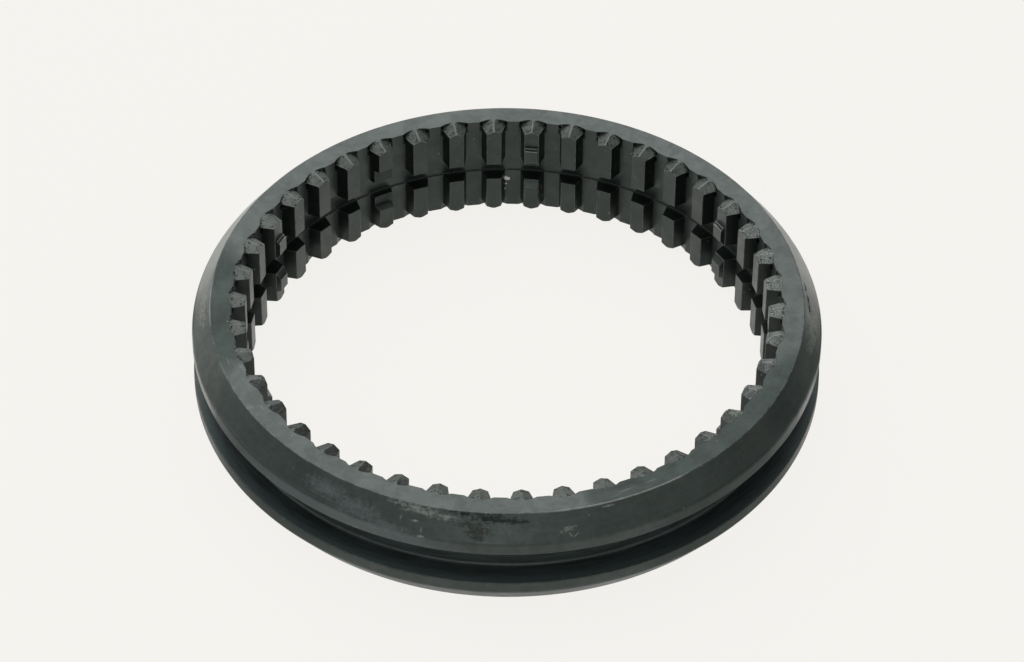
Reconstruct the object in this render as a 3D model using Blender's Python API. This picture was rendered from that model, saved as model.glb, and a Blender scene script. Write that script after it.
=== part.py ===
"""Shift sleeve of a gearbox: a splined steel ring with a fork groove around it.

Units are metres and +Z is up. The ring's axis is Z, the origin is the ring's centre, and the
middle of tooth 0, a stop tooth, lies on +Y. Teeth are numbered counter-clockwise from above.
"""

import math

import bmesh
import bpy
from mathutils import Matrix, Vector

# Ring
ROOT_DIAMETER = 0.1290  # across the bore, from tooth root to tooth root
WALL = 0.0037  # steel between the tooth roots and the floor of the fork groove
WIDTH = 0.0270  # from one flat face to the other

# Fork groove, and the two collars beside it
FORK_WIDTH = 0.0091
FORK_DEPTH = 0.0058
FORK_FILLET = 0.0008  # round in the two corners of the floor
FORK_CHAMFER = 0.0003  # broken edge at the mouth
COLLAR_LAND = 0.00305  # straight rim of each collar, next to the groove
BEVEL_DEPTH = 0.0043  # how much the slope from rim to face takes off the radius

# Internal spline
TEETH = 42
TOOTH_HEIGHT = 0.00315
TOOTH_TIP_WIDTH = 0.00357
FLANK_ANGLE = math.radians(20)  # between a flank and the middle plane of its tooth
RELIEF_WIDTH = 0.0046  # turned groove that parts each tooth into two
RELIEF_DEPTH = 0.00045  # how far the relief goes behind the tooth roots

# Pointed tooth ends, milled like the roof of a house
UPPER_POINT_DROP = 0.00064  # from the upper face down to the point at the tooth tip
LOWER_POINT_DROP = 0.00145  # from the lower face up to it
RIDGE_ANGLE = math.radians(12)  # rise of the ridge towards its face, going outwards
ROOF_ANGLE = math.radians(23)  # fall of the roof on each side of its ridge
SCALLOP_REACH = 0.00095  # how far the milled pocket goes behind the tooth roots
SCALLOP_MARGIN = 0.00038  # how far it goes past the foot of the tooth, on each side

# Stop teeth, which carry raised pads
STOP_TEETH = (0, 8, 14, 22, 28, 36)
STOP_RISE = 0.00116  # height of a pad above the tooth tip
STOP_START = 0.0002  # from the edge of the relief to the foot of the ramp
STOP_RAMP = 0.0015  # ramp, along the axis
STOP_FACE = 0.0037  # flat of the pad, along the axis
STOP_STEP = 0.00045  # small stair at the outer end of the pad
STOP_INSET = 0.00024  # how much narrower its top is than the tooth tip, on each side
STOP_SHOULDER = 0.00005  # the same at its foot

# Detent teeth, which have a recess across the middle
DETENT_TEETH = (4, 18, 32)
DETENT_DEPTH = 0.0016
DETENT_ABOVE = 0.0068  # from the middle plane to the upper edge, at the tooth tip
DETENT_BELOW = 0.00595  # from the middle plane to the lower edge
DETENT_WALL_ANGLE = math.radians(22)  # between the end walls and the level

# Fineness of the round shapes
RING_SEGMENTS = 3 * TEETH
FILLET_STEPS = 2
SCALLOP_STEPS = 3  # on each half of a pocket's round back

# How far a cutting tool goes past what it cuts, and a pad's block into its tooth
PAST = 0.001
SINK = 0.0006

# What follows from the sizes above
ROOT_RADIUS = ROOT_DIAMETER / 2
TIP_RADIUS = ROOT_RADIUS - TOOTH_HEIGHT
STOP_RADIUS = TIP_RADIUS - STOP_RISE
FLOOR_RADIUS = ROOT_RADIUS + WALL
OUTER_RADIUS = FLOOR_RADIUS + FORK_DEPTH
FACE_RADIUS = OUTER_RADIUS - BEVEL_DEPTH
TOP = WIDTH / 2
PITCH = math.tau / TEETH
CLEAR_RADIUS = STOP_RADIUS - PAST  # inside of everything on the bore


def tooth_half_width(radius):
    """Half the width of a tooth where it is this far from the axis."""
    return TOOTH_TIP_WIDTH / 2 + (radius - TIP_RADIUS) * math.tan(FLANK_ANGLE)


TOOL_HALF_WIDTH = tooth_half_width(ROOT_RADIUS) + SCALLOP_MARGIN


def clear_scene():
    for old in list(bpy.data.objects):
        bpy.data.objects.remove(old, do_unlink=True)


def steel():
    """Dark phosphated steel."""
    material = bpy.data.materials.new("phosphated_steel")
    material.use_nodes = True
    shader = material.node_tree.nodes["Principled BSDF"]
    shader.inputs["Base Color"].default_value = (0.072, 0.078, 0.076, 1)
    shader.inputs["Metallic"].default_value = 0.5
    shader.inputs["Roughness"].default_value = 0.5
    return material


def finished_object(name, bm):
    """An object from the bmesh, shaded smooth apart from its true edges."""
    bmesh.ops.recalc_face_normals(bm, faces=bm.faces)
    mesh = bpy.data.meshes.new(name)
    bm.to_mesh(mesh)
    bm.free()
    mesh.shade_smooth()
    mesh.set_sharp_from_angle(angle=math.radians(25))
    made = bpy.data.objects.new(name, mesh)
    bpy.context.scene.collection.objects.link(made)
    return made


def tool_object(name, bm):
    """A helper for a Boolean, left out of the finished part."""
    made = finished_object(name, bm)
    made.hide_render = True
    made.display_type = "WIRE"
    return made


def combine(part, tool, operation):
    modifier = part.modifiers.new(tool.name, "BOOLEAN")
    modifier.object = tool
    modifier.operation = operation
    modifier.solver = "EXACT"


def arc(centre, radius, start, end, steps):
    """Points on a round stretch between two angles, both ends included."""
    angles = [start + (end - start) * step / steps for step in range(steps + 1)]
    return [
        (centre[0] + radius * math.cos(angle), centre[1] + radius * math.sin(angle))
        for angle in angles
    ]


def prism(bm, outline, bottom, top):
    """A straight column on the plan outline, between two heights."""
    face = bm.faces.new([bm.verts.new((point.x, point.y, bottom)) for point in outline])
    grown = bmesh.ops.extrude_face_region(bm, geom=[face])["geom"]
    rise = Vector((0, 0, top - bottom))
    bmesh.ops.translate(bm, vec=rise, verts=[v for v in grown if isinstance(v, bmesh.types.BMVert)])


def bar(bm, section):
    """A bar as wide as the tooth tools, across tooth 0, from its section in radius and height."""
    face = bm.faces.new([bm.verts.new((-TOOL_HALF_WIDTH, radius, z)) for radius, z in section])
    grown = bmesh.ops.extrude_face_region(bm, geom=[face])["geom"]
    across = Vector((2 * TOOL_HALF_WIDTH, 0, 0))
    bmesh.ops.translate(bm, vec=across, verts=[v for v in grown if isinstance(v, bmesh.types.BMVert)])


def mirrored(bm):
    """Adds the same shape upside down, for the other half of the ring."""
    copied = bmesh.ops.duplicate(bm, geom=bm.verts[:] + bm.edges[:] + bm.faces[:])["geom"]
    verts = [v for v in copied if isinstance(v, bmesh.types.BMVert)]
    bmesh.ops.scale(bm, vec=(1, 1, -1), verts=verts)


def at_teeth(bm, teeth):
    """One copy of the shape at tooth 0 for each of these teeth, in place of the first."""
    single = bpy.data.meshes.new("single")
    bm.to_mesh(single)
    bm.clear()
    for tooth in teeth:
        present = set(bm.verts)
        bm.from_mesh(single)
        added = [v for v in bm.verts if v not in present]
        turn = Matrix.Rotation(tooth * PITCH, 3, "Z")
        bmesh.ops.rotate(bm, cent=(0, 0, 0), matrix=turn, verts=added)
    bpy.data.meshes.remove(single)


def turned(section):
    """A closed section in radius and height, turned once round the axis."""
    bm = bmesh.new()
    verts = [bm.verts.new((radius, 0, z)) for radius, z in section]
    edges = [bm.edges.new((verts[i - 1], verts[i])) for i in range(len(verts))]
    bmesh.ops.spin(
        bm,
        geom=verts + edges,
        cent=(0, 0, 0),
        axis=(0, 0, 1),
        dvec=(0, 0, 0),
        angle=math.tau,
        steps=RING_SEGMENTS,
        use_merge=True,
        use_duplicate=False,
    )
    return bm


def collar_section():
    """The upper half of the turned section, from the fork groove out and over to the face."""
    half = FORK_WIDTH / 2
    corner = (FLOOR_RADIUS + FORK_FILLET, half - FORK_FILLET)
    fillet = arc(corner, FORK_FILLET, math.pi, math.pi / 2, FILLET_STEPS)
    mouth = [(OUTER_RADIUS - FORK_CHAMFER, half), (OUTER_RADIUS, half + FORK_CHAMFER)]
    slope = [(OUTER_RADIUS, half + COLLAR_LAND), (FACE_RADIUS, TOP)]
    return fillet + mouth + slope


def turned_ring():
    """The ring as it comes from the lathe, with a rough bore."""
    upper = collar_section() + [(CLEAR_RADIUS, TOP)]
    lower = [(radius, -z) for radius, z in reversed(upper)]
    return finished_object("shift_sleeve", turned(upper + lower))


def bore_tool():
    """Opens the bore to the tooth tips, with one flat facet behind each tooth and each space."""
    facets = 2 * TEETH
    across_corners = TIP_RADIUS / math.cos(math.pi / facets)
    upright = Matrix.Rotation(math.pi / 2 + math.pi / facets, 4, "Z")
    bm = bmesh.new()
    bmesh.ops.create_cone(
        bm,
        cap_ends=True,
        segments=facets,
        radius1=across_corners,
        radius2=across_corners,
        depth=WIDTH + 2 * PAST,
        matrix=upright,
    )
    return tool_object("bore", bm)


def pad_half_width(radius):
    """Half the width of a pad, whose sides lean in like those of its tooth."""
    taper = (STOP_INSET - STOP_SHOULDER) / STOP_RISE
    return TOOTH_TIP_WIDTH / 2 - STOP_SHOULDER - taper * (TIP_RADIUS - radius)


def stop_pads():
    """The raised pads, with their roots sunk in the teeth."""
    foot = RELIEF_WIDTH / 2 + STOP_START
    sunk_foot = foot - SINK * STOP_RAMP / STOP_RISE
    face_end = foot + STOP_RAMP + STOP_FACE
    stair_radius = STOP_RADIUS + STOP_RISE / 2
    section = [
        (TIP_RADIUS + SINK, sunk_foot),
        (STOP_RADIUS, foot + STOP_RAMP),
        (STOP_RADIUS, face_end),
        (stair_radius, face_end),
        (stair_radius, face_end + STOP_STEP),
        (TIP_RADIUS + SINK, face_end + STOP_STEP),
    ]
    bm = bmesh.new()
    bar(bm, section)
    for vert in bm.verts:
        vert.co.x = math.copysign(pad_half_width(vert.co.y), vert.co.x)
    mirrored(bm)
    at_teeth(bm, STOP_TEETH)
    return tool_object("stop_pads", bm)


def broach():
    """One tool with a rib for each tooth space."""
    tip, foot = (
        Vector((tooth_half_width(radius), radius, 0))
        for radius in (CLEAR_RADIUS + PAST / 2, ROOT_RADIUS)
    )
    flank = [foot, tip]
    other_flank = [Vector((-point.x, point.y, 0)) for point in reversed(flank)]
    outline = []
    for tooth in range(TEETH):
        turn = Matrix.Rotation(tooth * PITCH, 3, "Z")
        outline += [turn @ point for point in flank + other_flank]
    bm = bmesh.new()
    prism(bm, outline, -TOP - PAST, TOP + PAST)
    return tool_object("broach", bm)


def relief_tool():
    """Turns the relief groove at mid-width, a little deeper than the tooth roots."""
    floor = ROOT_RADIUS + RELIEF_DEPTH
    half = RELIEF_WIDTH / 2
    section = [(CLEAR_RADIUS, -half), (floor, -half), (floor, half), (CLEAR_RADIUS, half)]
    return tool_object("relief", turned(section))


def roof_height(across, radius, point_drop):
    """Height of the milled roof over a point of the plan."""
    ridge = TOP - point_drop + (radius - TIP_RADIUS) * math.tan(RIDGE_ANGLE)
    return ridge - abs(across) * math.tan(ROOF_ANGLE)


def roof_cutter(bm, point_drop, side_up):
    """One cutter for the end of tooth 0: a pocket with a round back and a roof for its floor."""
    half = TOOL_HALF_WIDTH
    back = ROOT_RADIUS + SCALLOP_REACH
    scallop_radius = (half**2 + SCALLOP_REACH**2) / (2 * SCALLOP_REACH)
    centre = (0, back - scallop_radius)
    spread = math.asin(half / scallop_radius)
    curve = arc(centre, scallop_radius, math.pi / 2 - spread, math.pi / 2, SCALLOP_STEPS)[:-1]
    front = bm.verts.new((0, CLEAR_RADIUS, 0))
    middle = bm.verts.new((0, back, 0))
    floor = []
    for side in (1, -1):
        rim = [bm.verts.new((side * x, y, 0)) for x, y in [(half, CLEAR_RADIUS), *curve]]
        floor.append(bm.faces.new([front, *rim, middle]))
    grown = bmesh.ops.extrude_face_region(bm, geom=floor)["geom"]
    lid = {v for v in grown if isinstance(v, bmesh.types.BMVert)}
    for vert in lid | {v for face in floor for v in face.verts}:
        height = TOP + PAST if vert in lid else roof_height(vert.co.x, vert.co.y, point_drop)
        vert.co.z = side_up * height


def roof_tool():
    """Mills both ends of every tooth to a roof."""
    bm = bmesh.new()
    roof_cutter(bm, UPPER_POINT_DROP, 1)
    roof_cutter(bm, LOWER_POINT_DROP, -1)
    at_teeth(bm, range(TEETH))
    return tool_object("roofs", bm)


def detent_tool():
    """Cuts the recess with slanted ends across each detent tooth."""
    lean = math.tan(DETENT_WALL_ANGLE)
    floor = TIP_RADIUS + DETENT_DEPTH
    depth = floor - CLEAR_RADIUS
    spread = (TIP_RADIUS - CLEAR_RADIUS) * lean
    section = [
        (CLEAR_RADIUS, -DETENT_BELOW - spread),
        (floor, -DETENT_BELOW - spread + depth * lean),
        (floor, DETENT_ABOVE + spread - depth * lean),
        (CLEAR_RADIUS, DETENT_ABOVE + spread),
    ]
    bm = bmesh.new()
    bar(bm, section)
    at_teeth(bm, DETENT_TEETH)
    return tool_object("detents", bm)


clear_scene()
sleeve = turned_ring()
combine(sleeve, bore_tool(), "DIFFERENCE")
combine(sleeve, broach(), "DIFFERENCE")
combine(sleeve, stop_pads(), "UNION")
combine(sleeve, relief_tool(), "DIFFERENCE")
combine(sleeve, roof_tool(), "DIFFERENCE")
combine(sleeve, detent_tool(), "DIFFERENCE")
sleeve.data.materials.append(steel())
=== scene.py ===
# %% [markdown]
# # A shift sleeve, dressed for its picture
# This lesson takes the solid model of a gearbox sleeve and gives it the surface of the real one. The
# sleeve is a single ring of steel. Lathe work made its outside, a broach made its teeth, and a milling
# cutter made the roof shape at the end of each tooth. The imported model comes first, because every
# size here has to agree with it.

import math

import bmesh
import bpy
from mathutils import Matrix, Vector


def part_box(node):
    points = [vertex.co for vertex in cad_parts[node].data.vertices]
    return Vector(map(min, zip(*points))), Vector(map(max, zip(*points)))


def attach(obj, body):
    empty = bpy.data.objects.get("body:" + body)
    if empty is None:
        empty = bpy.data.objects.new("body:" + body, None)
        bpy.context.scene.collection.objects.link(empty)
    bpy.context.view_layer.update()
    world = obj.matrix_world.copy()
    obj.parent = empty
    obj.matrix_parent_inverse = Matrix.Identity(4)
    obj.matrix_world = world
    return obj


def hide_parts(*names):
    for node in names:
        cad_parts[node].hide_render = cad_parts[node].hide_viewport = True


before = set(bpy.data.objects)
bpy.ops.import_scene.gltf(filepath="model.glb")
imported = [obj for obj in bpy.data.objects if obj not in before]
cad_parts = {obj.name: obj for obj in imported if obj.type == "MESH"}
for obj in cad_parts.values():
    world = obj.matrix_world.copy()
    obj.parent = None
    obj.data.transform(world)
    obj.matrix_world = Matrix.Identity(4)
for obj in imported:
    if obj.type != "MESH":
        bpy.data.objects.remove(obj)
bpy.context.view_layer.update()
low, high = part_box("shift_sleeve")
OUTER_RADIUS = high.x
TOP = high.z
print(f"ring {2000 * OUTER_RADIUS:.1f} mm across and {2000 * TOP:.1f} mm wide")

# %% [markdown]
# ## The camera
# A long lens looks down on the ring from the side of tooth 22. Its turn, height, distance and roll
# come from matching the outline of the ring. A camera is placed most simply in its own directions,
# which are right, up and back, and then turned as a whole.

# %% Place the camera
VIEW_TURN = math.radians(5.2286)
VIEW_HEIGHT = math.radians(43.28)
VIEW_ROLL = math.radians(0.511)
VIEW_DISTANCE = 1.1010
VIEW_ASIDE = 0.00120
VIEW_ABOVE = 0.00290
LENS = 163.79

camera_data = bpy.data.cameras.new("camera")
camera_data.lens = LENS
camera = bpy.data.objects.new("camera", camera_data)
bpy.context.scene.collection.objects.link(camera)
facing = Matrix.Rotation(VIEW_TURN, 4, "Z") @ Matrix.Rotation(math.pi / 2 - VIEW_HEIGHT, 4, "X")
place = facing @ Vector((VIEW_ASIDE, VIEW_ABOVE, VIEW_DISTANCE))
camera.matrix_world = Matrix.Translation(place) @ facing @ Matrix.Rotation(VIEW_ROLL, 4, "Z")
bpy.context.scene.camera = camera
print("camera at", [round(value, 3) for value in place])

# %% [markdown]
# ## The sizes of the ring
# The solid model is made of flat facets and has knife edges. Real steel has broken edges, and they
# catch the light, so the ring is made again with the same sizes and a rounding on each edge. Only one
# tooth with its share of the ring is modelled. The other teeth are turned copies of it.

# %% Sizes of the turned ring
FORK_WIDTH = 0.0091
FLOOR_RADIUS = 0.0682
FACE_RADIUS = 0.0697
LAND_HEIGHT = FORK_WIDTH / 2 + 0.00305
FLOOR_FILLET = 0.0008
MOUTH_ROUND = 0.0003
RIM_ROUND = 0.00022  # between a slope and its face
COLLAR_ROUND = 0.00048  # between a slope and the straight rim
SECTOR_STEPS = 8  # facets of the outside, for each tooth

# %% Sizes of the teeth
TEETH = 42
PITCH = math.tau / TEETH
ROOT_RADIUS = 0.0645
TIP_RADIUS = 0.06135
TIP_WIDTH = 0.00357
FLANK_ANGLE = math.radians(20)
RELIEF_HALF = 0.0023
RELIEF_FLOOR = ROOT_RADIUS + 0.00045
UPPER_DROP = 0.00064
LOWER_DROP = 0.00145
RIDGE_ANGLE = math.radians(12)
ROOF_ANGLE = math.radians(23)
POCKET_REACH = 0.00095
POCKET_MARGIN = 0.00038
POCKET_STEPS = 7
CLEAR_RADIUS = 0.0590  # inside of everything on the bore
PAST = 0.001


def tooth_half_width(radius):
    """Half the width of a tooth where it is this far from the axis."""
    return TIP_WIDTH / 2 + (radius - TIP_RADIUS) * math.tan(FLANK_ANGLE)


POCKET_HALF = tooth_half_width(ROOT_RADIUS) + POCKET_MARGIN
print(f"{TEETH} teeth, {math.degrees(PITCH):.3f} degrees apart")

# %% Sizes of the special teeth
STOP_TEETH = (0, 8, 14, 22, 28, 36)
DETENT_TEETH = (4, 18, 32)
STOP_RADIUS = TIP_RADIUS - 0.00116
STOP_FOOT = RELIEF_HALF + 0.0002
STOP_RAMP = 0.0015
STOP_FACE = 0.0037
STOP_STEP = 0.00045
STOP_INSET = 0.00024
STOP_SHOULDER = 0.00014  # wide enough for the rounding of the tooth beside it
STOP_SINK = 0.0006
PAD_END = STOP_FOOT + STOP_RAMP + STOP_FACE
STAIR_RADIUS = (STOP_RADIUS + TIP_RADIUS) / 2
DETENT_FLOOR = TIP_RADIUS + 0.0016
DETENT_ABOVE = 0.0068
DETENT_BELOW = 0.00595
DETENT_LEAN = math.tan(math.radians(22))

# %% [markdown]
# ## Helpers
# Spinning a flat section about the axis makes everything that came off the lathe. The cutters are
# prisms. A Boolean modifier takes each of them off the blank, as the real tools did, and the mesh
# that it leaves goes back into a bmesh for its roundings.


# %% Helpers for the solids
def is_vert(item):
    return isinstance(item, bmesh.types.BMVert)


def as_object(name, bm):
    """An object from the bmesh, which is used up."""
    bmesh.ops.recalc_face_normals(bm, faces=bm.faces)
    mesh = bpy.data.meshes.new(name)
    bm.to_mesh(mesh)
    bm.free()
    made = bpy.data.objects.new(name, mesh)
    bpy.context.scene.collection.objects.link(made)
    return made


def spun_sector(section, spread, steps):
    """The section, in radius and height, swept round the axis to both sides of +Y and closed."""
    bm = bmesh.new()
    face = bm.faces.new([bm.verts.new((0, radius, z)) for radius, z in section])
    start = Matrix.Rotation(-spread / 2, 3, "Z")
    bmesh.ops.rotate(bm, cent=(0, 0, 0), matrix=start, verts=bm.verts)
    bmesh.ops.spin(
        bm,
        geom=[face, *face.edges, *face.verts],
        cent=(0, 0, 0),
        axis=(0, 0, 1),
        dvec=(0, 0, 0),
        angle=spread,
        steps=steps,
        use_merge=False,
        use_duplicate=False,
    )
    return bm


def extruded(bm, corners, way):
    """A prism from its end face and the way to the other end."""
    face = bm.faces.new([bm.verts.new(corner) for corner in corners])
    grown = bmesh.ops.extrude_face_region(bm, geom=[face])["geom"]
    bmesh.ops.translate(bm, vec=Vector(way), verts=list(filter(is_vert, grown)))


def rim_edges(bm, radius, height):
    """The edges that run round the axis at this radius and height."""
    near = 1e-5

    def on_rim(vert):
        return abs(vert.co.xy.length - radius) < near and abs(vert.co.z - height) < near

    return [edge for edge in bm.edges if all(map(on_rim, edge.verts))]


def round_off(bm, edges, width, segments):
    """Rounds the edges. The width is never clamped, so that all the sectors meet alike."""
    return bmesh.ops.bevel(
        bm,
        geom=edges,
        offset=width,
        segments=segments,
        profile=0.5,
        affect="EDGES",
        clamp_overlap=False,
        material=-1,
    )["faces"]


# %% [markdown]
# ## One tooth's share of the turned ring
# The section is a closed loop in radius and height. It goes round the groove for the shift fork on the
# outside. Its corners are sharp at first, and each kind gets its own rounding with the bevel operator:
# a wide one where the floor of the groove meets its walls, and narrow ones on the rims.


# %% Turn the blank
def blank_sector():
    half = FORK_WIDTH / 2
    upper = [
        (FLOOR_RADIUS, half),
        (OUTER_RADIUS, half),
        (OUTER_RADIUS, LAND_HEIGHT),
        (FACE_RADIUS, TOP),
        (CLEAR_RADIUS, TOP),
    ]
    lower = [(radius, -z) for radius, z in reversed(upper)]
    bm = spun_sector(upper + lower, PITCH, SECTOR_STEPS)
    for side in (1, -1):
        round_off(bm, rim_edges(bm, FLOOR_RADIUS, side * half), FLOOR_FILLET, 4)
        round_off(bm, rim_edges(bm, OUTER_RADIUS, side * half), MOUTH_ROUND, 3)
        round_off(bm, rim_edges(bm, OUTER_RADIUS, side * LAND_HEIGHT), COLLAR_ROUND, 3)
        round_off(bm, rim_edges(bm, FACE_RADIUS, side * TOP), RIM_ROUND, 2)
    flat = bmesh.ops.bisect_plane(
        bm,
        geom=bm.verts[:] + bm.edges[:] + bm.faces[:],
        plane_co=(0, TIP_RADIUS, 0),
        plane_no=(0, -1, 0),
        clear_outer=True,
    )["geom_cut"]
    bmesh.ops.holes_fill(bm, edges=[e for e in flat if isinstance(e, bmesh.types.BMEdge)])
    return bm


# %% [markdown]
# ## The tools
# The broach cuts the space on each side of the tooth. The relief is a turned groove at mid-width. The
# milling cutter leaves a pocket with a round back, and its floor is a roof with a ridge that rises
# outwards. The tooth of a stop has a raised pad, and the tooth of a detent has a recess.


# %% Tools that cut the tooth
def space_tool():
    bm = bmesh.new()
    inner = CLEAR_RADIUS - PAST
    for side in (1, -1):
        turn = Matrix.Rotation(side * PITCH, 3, "Z")
        near = [Vector((-side * tooth_half_width(r), r, 0)) for r in (inner, ROOT_RADIUS)]
        far = [turn @ Vector((-point.x, point.y, 0)) for point in reversed(near)]
        corners = [point - Vector((0, 0, TOP + PAST)) for point in near + far]
        extruded(bm, corners, (0, 0, 2 * (TOP + PAST)))
    return as_object("space_tool", bm)


def relief_tool():
    section = [
        (CLEAR_RADIUS - PAST, -RELIEF_HALF),
        (RELIEF_FLOOR, -RELIEF_HALF),
        (RELIEF_FLOOR, RELIEF_HALF),
        (CLEAR_RADIUS - PAST, RELIEF_HALF),
    ]
    return as_object("relief_tool", spun_sector(section, 3 * PITCH, 3 * SECTOR_STEPS))


def roof_tool():
    bm = bmesh.new()
    back = ROOT_RADIUS + POCKET_REACH
    radius = (POCKET_HALF**2 + POCKET_REACH**2) / (2 * POCKET_REACH)
    spread = math.asin(POCKET_HALF / radius)
    for drop, side_up in ((UPPER_DROP, 1), (LOWER_DROP, -1)):
        front = bm.verts.new((0, CLEAR_RADIUS - PAST, 0))
        middle = bm.verts.new((0, back, 0))
        halves = []
        for side in (1, -1):
            rim = [bm.verts.new((side * POCKET_HALF, CLEAR_RADIUS - PAST, 0))]
            for step in range(POCKET_STEPS):
                angle = spread * (1 - step / POCKET_STEPS)
                across = side * radius * math.sin(angle)
                rim.append(bm.verts.new((across, back - radius * (1 - math.cos(angle)), 0)))
            halves.append(bm.faces.new([front, *rim, middle]))
        grown = bmesh.ops.extrude_face_region(bm, geom=halves)["geom"]
        lid = set(filter(is_vert, grown))
        for vert in lid | {v for half in halves for v in half.verts}:
            ridge = TOP - drop + (vert.co.y - TIP_RADIUS) * math.tan(RIDGE_ANGLE)
            roof = ridge - abs(vert.co.x) * math.tan(ROOF_ANGLE)
            vert.co.z = side_up * (TOP + PAST if vert in lid else roof)
    return as_object("roof_tool", bm)


# %% Pads and recesses of the special teeth
def across_tooth(bm, section, half):
    """A bar over the tooth from its section in radius and height."""
    extruded(bm, [(-half, radius, z) for radius, z in section], (2 * half, 0, 0))


def pad_half_width(radius):
    taper = (STOP_INSET - STOP_SHOULDER) / (TIP_RADIUS - STOP_RADIUS)
    return TIP_WIDTH / 2 - STOP_SHOULDER - taper * (TIP_RADIUS - radius)


def pad_tool():
    rise = TIP_RADIUS - STOP_RADIUS
    sunk = TIP_RADIUS + STOP_SINK
    section = [
        (sunk, STOP_FOOT - STOP_SINK * STOP_RAMP / rise),
        (STOP_RADIUS, STOP_FOOT + STOP_RAMP),
        (STOP_RADIUS, PAD_END),
        (STAIR_RADIUS, PAD_END),
        (STAIR_RADIUS, PAD_END + STOP_STEP),
        (sunk, PAD_END + STOP_STEP),
    ]
    bm = bmesh.new()
    for side in (1, -1):
        across_tooth(bm, [(radius, side * z) for radius, z in section], POCKET_HALF)
    for vert in bm.verts:
        vert.co.x = math.copysign(pad_half_width(vert.co.y), vert.co.x)
    return as_object("pad_tool", bm)


def recess_tool():
    inner = CLEAR_RADIUS - PAST
    spread = (TIP_RADIUS - inner) * DETENT_LEAN
    narrowing = (DETENT_FLOOR - inner) * DETENT_LEAN
    section = [
        (inner, -DETENT_BELOW - spread),
        (DETENT_FLOOR, -DETENT_BELOW - spread + narrowing),
        (DETENT_FLOOR, DETENT_ABOVE + spread - narrowing),
        (inner, DETENT_ABOVE + spread),
    ]
    bm = bmesh.new()
    across_tooth(bm, section, POCKET_HALF)
    return as_object("recess_tool", bm)


# %% [markdown]
# ## Cutting one sector
# The ends of the sector are only there to keep the Boolean closed. They are deleted afterwards, so
# that the copies weld into one skin. Each face gets the number of the finish that its tool left. Then
# the sharp edges get their rounding, and a mark on the new faces lets the finish wear them.

# %% Cut and round a sector
EDGE_ROUND = 0.00011
PAD_ROUND = 0.00006
LOWER_RIDGE_ROUND = 0.0006
PAD_WEAR = 2.0  # how worn the edges are: 1 is the usual
ROOT_WEAR = 0.5
SLIVER = 0.000035  # Boolean cuts leave edges shorter than this, too short for a rounding
SHARP = math.radians(18)


def cut_mesh(blank, tools):
    for tool, operation in tools:
        modifier = blank.modifiers.new(tool.name, "BOOLEAN")
        modifier.object = tool
        modifier.operation = operation
        modifier.solver = "EXACT"
    ready = blank.evaluated_get(bpy.context.evaluated_depsgraph_get())
    return bpy.data.meshes.new_from_object(ready)


def on_cut_end(face):
    """Whether the face lies on one of the two planes that the sector ends on."""
    centre = face.calc_center_median()
    return abs(abs(math.atan2(centre.x, centre.y)) - PITCH / 2) < 1e-5


def is_lower_ridge(edge):
    """Whether the edge is the ridge of a lower tooth end."""
    roofs = [face for face in edge.link_faces if face.material_index == MILLED]
    middle = (edge.verts[0].co + edge.verts[1].co) / 2
    return len(roofs) == 2 and middle.z < 0 and max(abs(v.co.x) for v in edge.verts) < SLIVER


def is_sharp_inside(edge, reach):
    """Whether the edge is a true corner on the bore side of this radius."""
    if not edge.is_manifold or not edge.is_convex or edge.calc_face_angle(0) < SHARP:
        return False
    return all(vert.co.xy.length < reach for vert in edge.verts)


TURNED, BROACHED, MILLED = range(3)
ROOF_FOOT = TOP - LOWER_DROP - POCKET_HALF * math.tan(ROOF_ANGLE)  # no roof reaches lower


def finish_of(face, reach):
    """Which tool made the face: the lathe, the broach or the milling cutter."""
    centre, upright = face.calc_center_median(), abs(face.normal.z)
    height = abs(centre.z)
    if centre.xy.length > reach or (upright > 0.999 and height > TOP - 1e-5):
        return TURNED
    return MILLED if 0.6 < upright < 0.985 and height > ROOF_FOOT else BROACHED


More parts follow.
